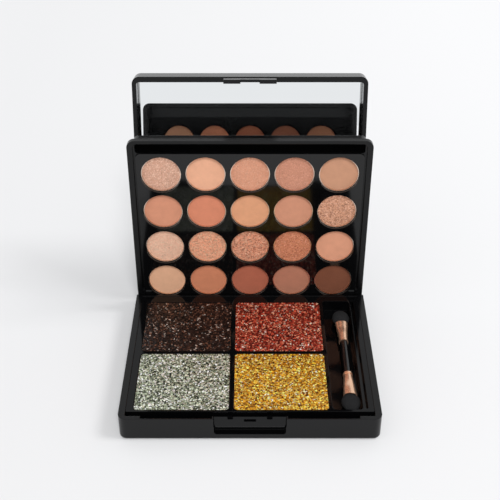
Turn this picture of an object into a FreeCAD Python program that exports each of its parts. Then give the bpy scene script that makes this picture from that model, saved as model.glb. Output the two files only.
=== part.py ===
import FreeCAD, Part
import Sketcher
import os
import re

# Three-leaf eyeshadow palette, standing open: a base with four glitter pans and an applicator,
# a flip tray with round pans on both faces, and a mirror lid that leans back.
# +X is the user's right, +Y points away from the user and +Z is up.
# The origin is the centre of the base's underside. All sizes are in millimetres.

SIZES = [
    ("base_width", 131.4, "overall width of the base"),
    ("base_depth", 115.0, "front to back of the base"),
    ("base_height", 14.0, "table to the base's rim"),
    ("base_corner", 4.0, "radius of the base's upright corners"),
    ("base_edge", 1.6, "rounding of the base's lower edge"),
    ("floor_wall", 2.0, "thickness of the base's floor"),
    ("rim_side", 3.5, "width of the base's side rims"),
    ("rim_front", 2.3, "width of the base's front rim"),
    ("hinge_block", 6.1, "thickness of the raised block behind the tray"),
    ("deck_wall", 1.5, "wall behind the base panel"),
    ("ledge", 1.5, "width of the ledge under the base panel"),
    ("channel", 3.2, "open channel between front rim and base panel"),
    ("rebate_depth", 1.6, "step along the front rim's inner edge"),
    ("rebate_width", 1.8, "width of that step"),
    ("rebate_length", 35.7, "length of each of the two steps"),
    ("rebate_inset", 11.25, "end of a step to the base's side"),
    ("panel_drop", 0.3, "tray panels lie this far below their rims"),
    ("deck_drop", 0.1, "base panel below the base's rim"),
    ("panel_corner", 0.8, "corner radius of the base panel"),
    ("panel_plate", 4.5, "thickness of the base panel"),
    ("panel_fit", 0.05, "clearance round a panel"),
    ("glitter_gap_wide", 2.6, "panel bar between tins side by side"),
    ("glitter_gap_deep", 2.4, "panel bar between tins front and back"),
    ("glitter_left", 7.4, "base's side to the left tins"),
    ("glitter_front", 1.5, "panel's front edge to the front tins"),
    ("glitter_rear", 5.7, "rear tins to the panel's rear edge"),
    ("glitter_tall", 3.0, "height of a rectangular tin"),
    ("glitter_corner", 2.0, "corner radius of a rectangular tin"),
    ("tin_wall", 0.4, "sheet of the tins"),
    ("tin_fit", 0.3, "clearance round a tin in its pocket"),
    ("tin_drop", 0.3, "tin's rim below the panel's face"),
    ("cake_drop", 0.5, "powder below its tin's rim, base and rear face"),
    ("cake_fit", 0.05, "clearance round a powder cake in its tin"),
    ("well_gap", 1.8, "glitter tin to the applicator well"),
    ("well_width", 15.3, "applicator well, left to right"),
    ("well_rear", 4.4, "applicator well to the panel's rear edge"),
    ("well_deep", 6.7, "depth of the applicator well"),
    ("well_wall", 1.2, "walls of the applicator well"),
    ("groove_gap", 0.7, "wall between well and groove"),
    ("groove_width", 1.9, "groove beside the well"),
    ("groove_side", 6.4, "groove to the base's side"),
    ("groove_deep", 3.2, "depth of that groove"),
    ("trough_depth", 3.0, "hinge trough below the rim"),
    ("trough_width", 6.5, "tray's face to the rear block"),
    ("rear_rise", 2.2, "rear block above the rim"),
    ("run_fit", 0.2, "gap beside a moving leaf"),
    ("close_gap", 0.25, "gap between the leaves when shut"),
    ("leaf_inset", 0.7, "tray and lid inside the base's sides"),
    ("leaf_thick", 3.0, "thickness of the tray's flange"),
    ("leaf_tail", 2.4, "tray's lower edge below the rim"),
    ("leaf_corner", 4.0, "corner radius of the flange"),
    ("leaf_rim_side", 3.0, "rim at the flange's sides"),
    ("leaf_rim_top", 1.8, "rim at the flange's top"),
    ("leaf_rim_foot", 0.4, "rim at the flange's lower edge"),
    ("leaf_channel", 6.0, "open channel above the front panel"),
    ("channel_deep", 5.5, "depth of that channel"),
    ("felt_thick", 0.6, "felt on the channel's floor"),
    ("leaf_slit", 1.1, "open slit beside the front panel"),
    ("face_plate", 1.0, "thickness of the tray's two panels"),
    ("face_corner", 3.0, "corner radius of the tray's two panels"),
    ("pan_margin", 2.46, "outer tins to the front panel's sides"),
    ("pan_bar_wide", 2.47, "panel bar between tins side by side"),
    ("pan_bar_tall", 1.8, "least bar between rows of tins"),
    ("pan_top", 10.0, "flange's top to the first row of tins"),
    ("pan_foot", 2.9, "last row of tins below the tray's axis"),
    ("pan_drop", 1.3, "front tin's rim below the front panel's face"),
    ("pan_fit", 0.15, "clearance round a front tin in its hole"),
    ("pan_cake_drop", 0.8, "powder below a front tin's rim"),
    ("pan_tall", 2.6, "height of a round tin"),
    ("pan_floor", 0.4, "frame behind a front tin"),
    ("back_inset", 2.9, "rear half inside the flange's sides"),
    ("back_inset_top", 1.4, "rear half inside the flange's top"),
    ("back_inset_foot", 5.2, "rear half above the flange's lower edge"),
    ("back_thick", 6.3, "thickness of the rear half"),
    ("back_rim", 1.2, "rim round the rear panel"),
    ("back_channel", 5.7, "open channel above the rear panel"),
    ("back_margin", 8.4, "outer tins to the rear panel's sides"),
    ("back_bar", 2.2, "bar between rear tins side by side"),
    ("back_top", 11.6, "rear half's top to the first row of tins"),
    ("back_foot", 1.3, "last row of tins to the rear half's lower edge"),
    ("tray_pin_radius", 0.75, "tray hinge pin"),
    ("tray_pin_inset", 2.0, "tray's side to a tray pin's outer end"),
    ("tray_pin_length", 6.9, "length of a tray hinge pin"),
    ("tray_lug_inset", 4.5, "tray's side to a tray lug"),
    ("tray_lug_width", 3.5, "width of a tray lug"),
    ("tray_lug_radius", 1.4, "rounded head of a tray lug"),
    ("pin_fit", 0.05, "radial clearance of a turning pin"),
    ("lid_lean", 13.0, "lid leans back by this many degrees"),
    ("lid_thick", 12.5, "front to back of the lid"),
    ("lid_corner", 4.0, "corner radius of the lid"),
    ("lid_edge", 2.0, "rounding of the lid's outer edge"),
    ("lid_rim", 2.4, "width of the lid's rim at sides and hinge"),
    ("lid_rim_top", 3.0, "width of the lid's rim at its free edge"),
    ("lid_recess", 10.3, "depth of the lid's recess"),
    ("lid_offset", 0.2, "lid's rim plane ahead of its hinge axis"),
    ("lid_setback", 0.1, "shut lid's edge behind the base's front"),
    ("mirror_thick", 1.6, "mirror glass"),
    ("mirror_fit", 0.15, "clearance round the mirror"),
    ("barrel_radius", 2.2, "lid hinge barrel"),
    ("barrel_gap", 0.2, "barrel to the base's rear wall"),
    ("barrel_web", 4.2, "height of the webs that carry the barrel"),
    ("knuckle_length", 19.8, "length of a hinge knuckle"),
    ("knuckle_gap", 0.2, "gap between hinge knuckles"),
    ("lid_pin_radius", 0.9, "lid hinge pin"),
    ("tongue_width", 29.0, "latch tongue on the lid"),
    ("tongue_length", 6.0, "tongue ahead of the lid's rim"),
    ("tongue_thick", 1.5, "thickness of the tongue"),
    ("tongue_inset", 0.4, "tongue inside the lid's edge"),
    ("tongue_split", 10.4, "gap between the tongue's two feet"),
    ("tongue_step", 0.5, "feet longer than the tongue's middle"),
    ("barb_reach", 0.7, "barb on each foot"),
    ("barb_tall", 0.6, "height of a barb"),
    ("latch_width", 36.0, "latch button"),
    ("latch_fit", 0.2, "gap beside the latch button"),
    ("latch_low", 5.3, "latch button's underside below the rim"),
    ("latch_front", 4.8, "latch button's front edge below the rim"),
    ("latch_back", 2.0, "latch button's rear edge below the rim"),
    ("latch_deep", 4.0, "latch button, front to back"),
    ("latch_corner", 1.5, "rounding of the button's front corners"),
    ("latch_travel", 1.2, "push of the latch button"),
    ("latch_slot_width", 6.0, "slot in the latch button"),
    ("latch_slot_deep", 1.0, "front to back of that slot"),
    ("latch_slot_back", 1.0, "slot to the button's rear edge"),
    ("lip_tall", 0.5, "lips of the catch hooks"),
    ("lip_reach", 1.6, "lips of the catch hooks, front to back"),
    ("lip_clear", 0.1, "shut barb below its catch lip"),
    ("lip_width", 2.5, "width of a catch hook"),
    ("finger_low", 3.7, "table to the finger recess"),
    ("finger_shoulder", 0.5, "ledge behind the recess that carries the button"),
    ("finger_corner", 1.5, "corner radius of the finger recess"),
    ("wand_side", 14.3, "base's side to the applicator's axis"),
    ("wand_front", 1.7, "well's front end to the applicator"),
    ("wand_slack", 5.7, "applicator to the well's rear end"),
    ("wand_clear", 0.05, "applicator above the well's floor"),
    ("handle_radius", 2.1, "applicator handle"),
    ("ferrule_length", 16.5, "applicator ferrule"),
    ("ferrule_small", 2.3, "ferrule radius at the handle"),
    ("ferrule_large", 3.6, "ferrule radius at the sponge"),
    ("ferrule_wall", 0.35, "sheet of the ferrules"),
    ("collar_length", 1.2, "collar where a ferrule grips the handle"),
    ("collar_rise", 0.3, "collar outside the ferrule"),
    ("socket_length", 3.0, "handle or sponge held inside a ferrule"),
    ("sponge_length", 11.4, "sponge tip outside its ferrule"),
    ("sponge_width", 10.2, "sponge tip, across"),
    ("sponge_thick", 5.0, "sponge tip, thickness"),
]

COLUMNS = 5
ROWS = 4

doc = FreeCAD.newDocument("EyeshadowPalette")
sheet = doc.addObject("Spreadsheet::Sheet", "Sheet")
for line, (alias, size, note) in enumerate(SIZES, 1):
    sheet.set(f"A{line}", alias)
    sheet.set(f"B{line}", str(size))
    sheet.setAlias(f"B{line}", alias)
    sheet.set(f"C{line}", note)
doc.recompute()
ALIASES = {alias for alias, size, note in SIZES}

X = FreeCAD.Vector(1, 0, 0)
Y = FreeCAD.Vector(0, 1, 0)
Z = FreeCAD.Vector(0, 0, 1)


def linked(expression):
    """The expression with every sheet alias written as a link to the sheet."""
    return re.sub(
        r"[a-z]\w*",
        lambda word: "Sheet." + word.group() if word.group() in ALIASES else word.group(),
        str(expression),
    )


def value(expression):
    return float(sheet.evalExpression(linked(expression)))


def bind(thing, prop, expression):
    thing.setExpression(prop, linked(expression))


def box(name, x, y, z):
    """A box between bound limits."""
    made = doc.addObject("Part::Box", name)
    for size, axis, (low, high) in zip(("Length", "Width", "Height"), "xyz", (x, y, z)):
        bind(made, size, f"({high}) - ({low})")
        bind(made, f"Placement.Base.{axis}", low)
    return made


def round_bar(name, axis, start, length, radius):
    """A cylinder from a bound start point, along +X, +Y or +Z."""
    made = doc.addObject("Part::Cylinder", name)
    made.Placement.Rotation = FreeCAD.Rotation(Z, axis)
    for letter, place in zip("xyz", start):
        bind(made, f"Placement.Base.{letter}", place)
    bind(made, "Radius", radius)
    bind(made, "Height", length)
    return made


def fuse(name, *pieces):
    made = doc.addObject("Part::MultiFuse", name)
    made.Shapes = list(pieces)
    made.Refine = True
    return made


def cut(name, base, *tools):
    """Base less the tools, which are joined first where there are several."""
    made = doc.addObject("Part::Cut", name)
    made.Base = base
    made.Tool = tools[0] if len(tools) == 1 else fuse(name + "_tools", *tools)
    made.Refine = True
    return made


def rounded(name, base, radius, *axes):
    """Base with its straight edges along the given axes rounded."""
    doc.recompute()
    size = value(radius)
    made = doc.addObject("Part::Fillet", name)
    made.Base = base
    made.Edges = [
        (number, size, size)
        for number, edge in enumerate(base.Shape.Edges, 1)
        if any(abs(edge.tangentAt(edge.FirstParameter).dot(axis)) > 0.999 for axis in axes)
    ]
    return made


def rounded_edge(name, base, radius, picked):
    """Base with the edges rounded whose bounding box the test picks."""
    doc.recompute()
    size = value(radius)
    made = doc.addObject("Part::Fillet", name)
    made.Base = base
    made.Edges = [
        (number, size, size)
        for number, edge in enumerate(base.Shape.Edges, 1)
        if picked(edge.BoundBox)
    ]
    return made


def group(name, pieces):
    made = doc.addObject("Part::Compound", name)
    made.Links = pieces
    return made


def profile(body, plane, corners):
    """A closed outline on one of the body's origin planes, each corner placed by bound distances."""
    drawn = body.newObject("Sketcher::SketchObject", body.Name + "_outline")
    support = [item for item in body.Origin.OriginFeatures if item.Role == plane][0]
    drawn.AttachmentSupport = [(support, "")]
    drawn.MapMode = "FlatFace"
    places = [FreeCAD.Vector(value(across), value(up), 0) for across, up in corners]
    count = len(places)
    for here in range(count):
        drawn.addGeometry(Part.LineSegment(places[here], places[(here + 1) % count]))
    for here in range(count):
        drawn.addConstraint(Sketcher.Constraint("Coincident", here, 2, (here + 1) % count, 1))
    for here, (across, up) in enumerate(corners):
        for kind, place in (("DistanceX", across), ("DistanceY", up)):
            number = drawn.addConstraint(
                Sketcher.Constraint(kind, -1, 1, here, 1, value(place))
            )
            bind(drawn, f"Constraints[{number}]", place)
    return drawn


def prism(name, corners, width):
    """An outline in the YZ plane, padded evenly to both sides of X = 0."""
    body = doc.addObject("PartDesign::Body", name)
    pad = body.newObject("PartDesign::Pad", name + "_pad")
    pad.Profile = profile(body, "YZ_Plane", corners)
    pad.SideType = "Symmetric"
    bind(pad, "Length", width)
    return body


def turned(name, corners, place):
    """An outline of radius and length, turned about an axis along Y through the bound place."""
    body = doc.addObject("PartDesign::Body", name)
    turn = body.newObject("PartDesign::Revolution", name + "_turn")
    turn.Profile = profile(body, "XY_Plane", corners)
    turn.ReferenceAxis = (
        [item for item in body.Origin.OriginFeatures if item.Role == "Y_Axis"][0],
        [""],
    )
    turn.Angle = 360
    for letter, where in zip("xyz", place):
        bind(body, f"Placement.Base.{letter}", where)
    return body


HALF = "(base_width / 2)"
LEAF_HALF = f"({HALF} - leaf_inset)"
FRONT = "(-base_depth / 2)"
REAR = "(base_depth / 2)"
FACE = "(base_depth / 2 - hinge_block - trough_width)"
PAST = "1"

# The base: a moulded shell with a rim, a ledge for the panel, a channel behind the front rim,
# a hinge trough across its whole width and a raised block that carries the lid's hinge.
PANEL_TOP = "(base_height - deck_drop)"
LEDGE_TOP = f"({PANEL_TOP} - panel_plate)"
PANEL_FRONT = f"({FRONT} + rim_front + channel)"
PANEL_REAR = f"({FACE} - run_fit - deck_wall - panel_fit)"
PANEL_HALF = f"({HALF} - rim_side - panel_fit)"
TROUGH_REAR = f"({FACE} + trough_width)"
BLOCK_TOP = "(base_height + rear_rise)"

GROOVE_RIGHT = f"({HALF} - groove_side)"
WELL_RIGHT = f"({GROOVE_RIGHT} - groove_width - groove_gap)"
WELL_LEFT = f"({WELL_RIGHT} - well_width)"
WELL_FRONT = f"({PANEL_FRONT} + glitter_front)"
WELL_REAR = f"({PANEL_REAR} - well_rear)"
GLITTER_LEFT = f"(-{HALF} + glitter_left)"
GLITTER_WIDTH = f"(({WELL_LEFT} - well_gap - {GLITTER_LEFT} - glitter_gap_wide) / 2)"
GLITTER_DEPTH = f"(({PANEL_REAR} - glitter_rear - {WELL_FRONT} - glitter_gap_deep) / 2)"
WELL_FLOOR = f"({PANEL_TOP} - well_deep)"
LATCH_LOW = "(base_height - latch_low)"
LATCH_FRONT = "(base_height - latch_front)"
LATCH_BACK = "(base_height - latch_back)"

TRAY_AXIS_Y = f"({FACE} + leaf_thick / 2)"
TRAY_AXIS_Z = "(base_height + close_gap + leaf_thick / 2)"
LID_AXIS_Y = f"({REAR} + barrel_gap + barrel_radius)"
LID_AXIS_Z = "(base_height + 2 * close_gap + leaf_thick + lid_offset)"

shell_block = box("shell_block", (f"-{HALF}", HALF), (FRONT, REAR), ("0", BLOCK_TOP))
shell_corners = rounded("shell_corners", shell_block, "base_corner", Z)
shell_outer = rounded_edge(
    "shell_outer", shell_corners, "base_edge", lambda edge: edge.ZMax < value("base_edge")
)
deck_clear = box(
    "deck_clear",
    (f"-{HALF} - {PAST}", f"{HALF} + {PAST}"),
    (f"{FRONT} - {PAST}", TROUGH_REAR),
    ("base_height", f"{BLOCK_TOP} + {PAST}"),
)
trough = box(
    "trough",
    (f"-{HALF} - {PAST}", f"{HALF} + {PAST}"),
    (f"{FACE} - run_fit", TROUGH_REAR),
    ("base_height - trough_depth", f"base_height + {PAST}"),
)
panel_seat = rounded(
    "panel_seat",
    box(
        "panel_seat_box",
        (f"-{PANEL_HALF} - panel_fit", f"{PANEL_HALF} + panel_fit"),
        (f"{FRONT} + rim_front", f"{PANEL_REAR} + panel_fit"),
        (LEDGE_TOP, f"base_height + {PAST}"),
    ),
    "panel_corner",
    Z,
)
lower_hollow = box(
    "lower_hollow",
    (f"-{PANEL_HALF} + ledge", f"{PANEL_HALF} - ledge"),
    (f"{PANEL_FRONT} + ledge", f"{PANEL_REAR} - ledge"),
    ("floor_wall", f"{LEDGE_TOP} + {PAST}"),
)
well_clear = box(
    "well_clear",
    (f"{WELL_LEFT} - well_wall - panel_fit", f"{WELL_RIGHT} + well_wall + panel_fit"),
    (f"{PANEL_FRONT} - panel_fit", f"{WELL_REAR} + well_wall + panel_fit"),
    ("floor_wall", f"{LEDGE_TOP} + {PAST}"),
)
latch_notch = box(
    "latch_notch",
    ("-latch_width / 2 - latch_fit", "latch_width / 2 + latch_fit"),
    (f"{FRONT} - {PAST}", f"{FRONT} + latch_deep + latch_travel + latch_fit"),
    (f"{LATCH_LOW} - pin_fit", f"base_height + {PAST}"),
)
finger_recess = rounded(
    "finger_recess",
    box(
        "finger_recess_box",
        ("-latch_width / 2", "latch_width / 2"),
        (f"{FRONT} - {PAST}", f"{FRONT} + latch_deep - finger_shoulder"),
        ("finger_low", f"{LATCH_LOW} + finger_corner"),
    ),
    "finger_corner",
    Y,
)
rebates = [
    box(
        f"rebate_{side}",
        (low, f"{low} + rebate_length"),
        (f"{FRONT} + rim_front - rebate_width", f"{FRONT} + rim_front + {PAST}"),
        ("base_height - rebate_depth", f"base_height + {PAST}"),
    )
    for side, low in (
        ("left", f"(-{HALF} + rebate_inset)"),
        ("right", f"({HALF} - rebate_inset - rebate_length)"),
    )
]
shell_hollow = cut(
    "shell_hollow",
    shell_outer,
    deck_clear,
    trough,
    panel_seat,
    lower_hollow,
    well_clear,
    latch_notch,
    finger_recess,
    *rebates,
)

LUG_SIDES = {
    "left": f"(-{LEAF_HALF} + tray_lug_inset)",
    "right": f"({LEAF_HALF} - tray_lug_inset - tray_lug_width)",
}
PIN_SIDES = {
    "left": f"(-{LEAF_HALF} + tray_pin_inset)",
    "right": f"({LEAF_HALF} - tray_pin_inset - tray_pin_length)",
}
TROUGH_FLOOR = "(base_height - trough_depth)"
tray_lugs = []
for side, low in LUG_SIDES.items():
    tray_lugs.append(
        box(
            f"tray_lug_stem_{side}",
            (low, f"{low} + tray_lug_width"),
            (f"{TRAY_AXIS_Y} - tray_lug_radius", f"{TRAY_AXIS_Y} + tray_lug_radius"),
            (f"{TROUGH_FLOOR} - {PAST}", TRAY_AXIS_Z),
        )
    )
    tray_lugs.append(
        round_bar(
            f"tray_lug_head_{side}",
            X,
            (low, TRAY_AXIS_Y, TRAY_AXIS_Z),
            "tray_lug_width",
            "tray_lug_radius",
        )
    )
KNUCKLE_STEP = "(knuckle_length + knuckle_gap)"
base_knuckles = []
for number in (-2, 0, 2):
    low = f"({number} * {KNUCKLE_STEP} - knuckle_length / 2)"
    base_knuckles.append(
        round_bar(
            f"base_barrel_{number + 2}",
            X,
            (low, LID_AXIS_Y, LID_AXIS_Z),
            "knuckle_length",
            "barrel_radius",
        )
    )
    base_knuckles.append(
        box(
            f"base_web_{number + 2}",
            (low, f"{low} + knuckle_length"),
            (f"{REAR} - {PAST}", LID_AXIS_Y),
            (f"{BLOCK_TOP} - barrel_web", BLOCK_TOP),
        )
    )
BARREL_HALF = f"(2 * {KNUCKLE_STEP} + knuckle_length / 2)"
tray_pin_holes = [
    round_bar(
        f"tray_pin_hole_{side}",
        X,
        (low, TRAY_AXIS_Y, TRAY_AXIS_Z),
        "tray_pin_length",
        "tray_pin_radius",
    )
    for side, low in PIN_SIDES.items()
]
base_shell = cut(
    "base_shell",
    fuse("shell_joined", shell_hollow, *tray_lugs, *base_knuckles),
    round_bar(
        "base_barrel_bore",
        X,
        (f"-{BARREL_HALF} - {PAST}", LID_AXIS_Y, LID_AXIS_Z),
        f"2 * {BARREL_HALF} + 2 * {PAST}",
        "lid_pin_radius + pin_fit",
    ),
    *tray_pin_holes,
)

# Two short pins, tight in the base's lugs, on which the flip tray turns.
tray_hinge_pins = group(
    "tray_hinge_pins",
    [
        round_bar(
            f"tray_pin_{side}",
            X,
            (low, TRAY_AXIS_Y, TRAY_AXIS_Z),
            "tray_pin_length",
            "tray_pin_radius",
        )
        for side, low in PIN_SIDES.items()
    ],
)

# One long pin through the lid hinge's barrel.
lid_hinge_pin = round_bar(
    "lid_hinge_pin",
    X,
    (f"-{BARREL_HALF}", LID_AXIS_Y, LID_AXIS_Z),
    f"2 * {BARREL_HALF}",
    "lid_pin_radius",
)

# The base panel: a glossy insert on the shell's ledge, with pockets for the rectangular tins,
# a deep well for the applicator and a groove beside it.
GLITTER_FLOOR = f"({PANEL_TOP} - tin_drop - glitter_tall)"
GLITTER_TOP = f"({PANEL_TOP} - tin_drop)"
glitter_places = {
    "silver": (0, 0),
    "gold": (1, 0),
    "dark": (0, 1),
    "red": (1, 1),
}


def glitter_box(name, place, inset, corner, low, high):
    """A rounded block on a rectangular tin's place, inset from the tin's outside."""
    column, row = place
    left = f"({GLITTER_LEFT} + {column} * ({GLITTER_WIDTH} + glitter_gap_wide))"
    front = f"({WELL_FRONT} + {row} * ({GLITTER_DEPTH} + glitter_gap_deep))"
    block = box(
        name + "_box",
        (f"{left} + ({inset})", f"{left} + {GLITTER_WIDTH} - ({inset})"),
        (f"{front} + ({inset})", f"{front} + {GLITTER_DEPTH} - ({inset})"),
        (low, high),
    )
    return rounded(name, block, corner, Z)


panel_block = rounded(
    "panel_block",
    box(
        "panel_block_box",
        (f"-{PANEL_HALF}", PANEL_HALF),
        (PANEL_FRONT, PANEL_REAR),
        (LEDGE_TOP, PANEL_TOP),
    ),
    "panel_corner",
    Z,
)
well_block = box(
    "well_block",
    (f"{WELL_LEFT} - well_wall", f"{WELL_RIGHT} + well_wall"),
    (PANEL_FRONT, f"{WELL_REAR} + well_wall"),
    (f"{WELL_FLOOR} - well_wall", f"{LEDGE_TOP} + {PAST}"),
)
well = rounded(
    "well",
    box(
        "well_box",
        (WELL_LEFT, WELL_RIGHT),
        (WELL_FRONT, WELL_REAR),
        (WELL_FLOOR, f"{PANEL_TOP} + {PAST}"),
    ),
    "glitter_corner",
    Z,
)
groove = rounded(
    "groove",
    box(
        "groove_box",
        (f"{GROOVE_RIGHT} - groove_width", GROOVE_RIGHT),
        (f"{WELL_FRONT} + groove_gap", WELL_REAR),
        (f"{PANEL_TOP} - groove_deep", f"{PANEL_TOP} + {PAST}"),
    ),
    "groove_width / 2 - panel_fit",
    Z,
)
glitter_pockets = [
    glitter_box(
        f"pocket_{shade}",
        place,
        "-tin_fit",
        "glitter_corner + tin_fit",
        GLITTER_FLOOR,
        f"{PANEL_TOP} + {PAST}",
    )
    for shade, place in glitter_places.items()
]
base_panel = cut(
    "base_panel", fuse("panel_joined", panel_block, well_block), well, groove, *glitter_pockets
)

glitter_tins = group(
    "glitter_tins",
    [
        cut(
            f"glitter_tin_{shade}",
            glitter_box(
                f"tin_out_{shade}", place, "0", "glitter_corner", GLITTER_FLOOR, GLITTER_TOP
            ),
            glitter_box(
                f"tin_in_{shade}",
                place,
                "tin_wall",
                "glitter_corner - tin_wall",
                f"{GLITTER_FLOOR} + tin_wall",
                f"{GLITTER_TOP} + {PAST}",
            ),
        )
        for shade, place in glitter_places.items()
    ],
)
nodes = [base_shell, base_panel, glitter_tins, tray_hinge_pins, lid_hinge_pin]
for shade, place in glitter_places.items():
    nodes.append(
        glitter_box(
            f"glitter_{shade}",
            place,
            "tin_wall + cake_fit",
            "glitter_corner - tin_wall - cake_fit",
            f"{GLITTER_FLOOR} + tin_wall",
            f"{GLITTER_TOP} - cake_drop",
        )
    )

# The latch button: a sloped plate in the front wall's notch, with a slot in its face. It is pushed
# inwards to let the lid's tongue go. Two steel hooks in its rear edge hold the tongue's barbs.
LATCH_REAR = f"({FRONT} + latch_deep)"
SHUT_RIM = "(base_height + 2 * close_gap + leaf_thick)"
BARB_TOP = f"({SHUT_RIM} - tongue_length + barb_tall)"
LIP_LOW = f"({BARB_TOP} + lip_clear)"
LIP_INNER = "(tongue_split / 2 + (tongue_width - tongue_split) / 4 - lip_width / 2)"
HOOK_SIDES = {"left": f"(-{LIP_INNER} - lip_width)", "right": LIP_INNER}
latch_wedge = prism(
    "latch_wedge",
    [
        (FRONT, LATCH_LOW),
        (LATCH_REAR, LATCH_LOW),
        (LATCH_REAR, LATCH_BACK),
        (FRONT, LATCH_FRONT),
    ],
    "latch_width",
)
latch_plate = rounded_edge(
    "latch_plate",
    latch_wedge,
    "latch_corner",
    lambda edge: edge.XLength < edge.ZLength and edge.YMax < value(FRONT) + value("latch_fit"),
)
latch_slot = box(
    "latch_slot",
    ("-latch_slot_width / 2", "latch_slot_width / 2"),
    (
        f"{LATCH_REAR} - latch_slot_back - latch_slot_deep",
        f"{LATCH_REAR} - latch_slot_back",
    ),
    (LATCH_FRONT, f"{LATCH_BACK} + {PAST}"),
)
hook_seats = [
    box(
        f"hook_seat_{side}",
        (f"{low} - pin_fit", f"{low} + lip_width + pin_fit"),
        (f"{LATCH_REAR} - lip_reach / 2 - pin_fit", f"{LATCH_REAR} + {PAST}"),
        (f"{LATCH_LOW} - {PAST}", f"{LATCH_BACK} + {PAST}"),
    )
    for side, low in HOOK_SIDES.items()
]
latch_button = cut("latch_button", latch_plate, latch_slot, *hook_seats)
latch_hooks = group(
    "latch_hooks",
    [
        fuse(
            f"latch_hook_{side}",
            box(
                f"hook_lip_{side}",
                (low, f"{low} + lip_width"),
                (f"{LATCH_REAR} - lip_reach", LATCH_REAR),
                (LIP_LOW, f"{LIP_LOW} + lip_tall"),
            ),
            box(
                f"hook_post_{side}",
                (low, f"{low} + lip_width"),
                (f"{LATCH_REAR} - lip_reach / 2", LATCH_REAR),
                (LATCH_LOW, f"{LIP_LOW} + lip_tall"),
            ),
        )
        for side, low in HOOK_SIDES.items()
    ],
)
nodes += [latch_button, latch_hooks]

# The flip tray: a flange almost as wide as the base, and a narrower rear half that nests in the lid.
# Both faces carry a panel with round holes, and the tins stand in pockets of the frame.
LEAF_REAR = f"({FACE} + leaf_thick)"
LEAF_LOW = "(base_height - leaf_tail)"
LEAF_TOP = f"({TRAY_AXIS_Z} + {TRAY_AXIS_Y} - {PANEL_FRONT})"
FACE_PANEL = f"({FACE} + panel_drop)"
FACE_BACK = f"({FACE_PANEL} + face_plate)"
FACE_HALF = f"({LEAF_HALF} - leaf_rim_side - leaf_slit)"
FACE_LOW = f"({LEAF_LOW} + leaf_rim_foot + panel_fit)"
FACE_TOP = f"({LEAF_TOP} - leaf_rim_top - leaf_channel)"
HINGE_CLEAR = f"({TRAY_AXIS_Z} + tray_lug_radius + 2 * run_fit)"
BACK_HALF = f"({LEAF_HALF} - back_inset)"
BACK_LOW = f"({LEAF_LOW} + back_inset_foot)"
BACK_TOP = f"({LEAF_TOP} - back_inset_top)"
BACK_FACE = f"({LEAF_REAR} + back_thick)"
BACK_PANEL = f"({BACK_FACE} - panel_drop)"
BACK_SEAT = f"({BACK_PANEL} - face_plate)"
BACK_PANEL_TOP = f"({BACK_TOP} - back_rim - back_channel)"
PAN_SEAT = f"({FACE_PANEL} + pan_drop + pan_tall)"
BACK_PAN_SEAT = f"({BACK_PANEL} - tin_drop - pan_tall)"
BOSS_INNER = f"({LEAF_HALF} - tray_pin_inset - tray_pin_length - 2 * run_fit)"
FOOT_HALF = f"({LEAF_HALF} - tray_lug_inset - tray_lug_width - 2 * run_fit)"
CHANNEL_FLOOR = f"({FACE} + channel_deep)"

# The front tins fill the front panel between its side margins and from its top to its foot, and
# take the largest radius that leaves the bars between them. The rear tins do the same.
PANS_HIGH = f"({LEAF_TOP} - pan_top)"
PANS_TALL = f"({PANS_HIGH} - {TRAY_AXIS_Z} + pan_foot)"
PANS_WIDE = f"(2 * {FACE_HALF} - 2 * pan_margin)"
PAN_RADIUS = (
    f"min(({PANS_WIDE} - {COLUMNS - 1} * pan_bar_wide) / {2 * COLUMNS};"
    f" ({PANS_TALL} - {ROWS - 1} * pan_bar_tall) / {2 * ROWS})"
)
PITCH_WIDE = f"(({PANS_WIDE} - 2 * {PAN_RADIUS}) / {COLUMNS - 1})"
PITCH_TALL = f"(({PANS_TALL} - 2 * {PAN_RADIUS}) / {ROWS - 1})"
BACK_WIDE = f"(2 * ({BACK_HALF} - back_rim - panel_fit - back_margin))"
BACK_TALL = f"({BACK_TOP} - back_top - back_foot - {BACK_LOW})"
BACK_RADIUS = (
    f"min(({BACK_WIDE} - {COLUMNS - 1} * back_bar) / {2 * COLUMNS};"
    f" ({BACK_TALL} - {ROWS - 1} * pan_bar_tall) / {2 * ROWS})"
)
BACK_PITCH_WIDE = f"(({BACK_WIDE} - 2 * {BACK_RADIUS}) / {COLUMNS - 1})"
BACK_PITCH_TALL = f"(({BACK_TALL} - 2 * {BACK_RADIUS}) / {ROWS - 1})"


def pan_places(high, radius, pitch_wide, pitch_tall):
    """Bound X and Z of each pan's centre, by row and column, under the first row's upper edge."""
    return {
        (row, column): (
            f"({column - (COLUMNS - 1) / 2} * {pitch_wide})",
            f"({high} - {radius} - {row} * {pitch_tall})",
        )
        for row in range(ROWS)
        for column in range(COLUMNS)
    }


FRONT_PANS = pan_places(PANS_HIGH, PAN_RADIUS, PITCH_WIDE, PITCH_TALL)
BACK_PANS = pan_places(f"({BACK_TOP} - back_top)", BACK_RADIUS, BACK_PITCH_WIDE, BACK_PITCH_TALL)


def discs(name, pans, start, end, radius):
    """One round bar along Y on each pan's centre."""
    return [
        round_bar(f"{name}_{row + 1}_{column + 1}", Y, (x, start, z), f"({end}) - ({start})", radius)
        for (row, column), (x, z) in pans.items()
    ]


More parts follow.
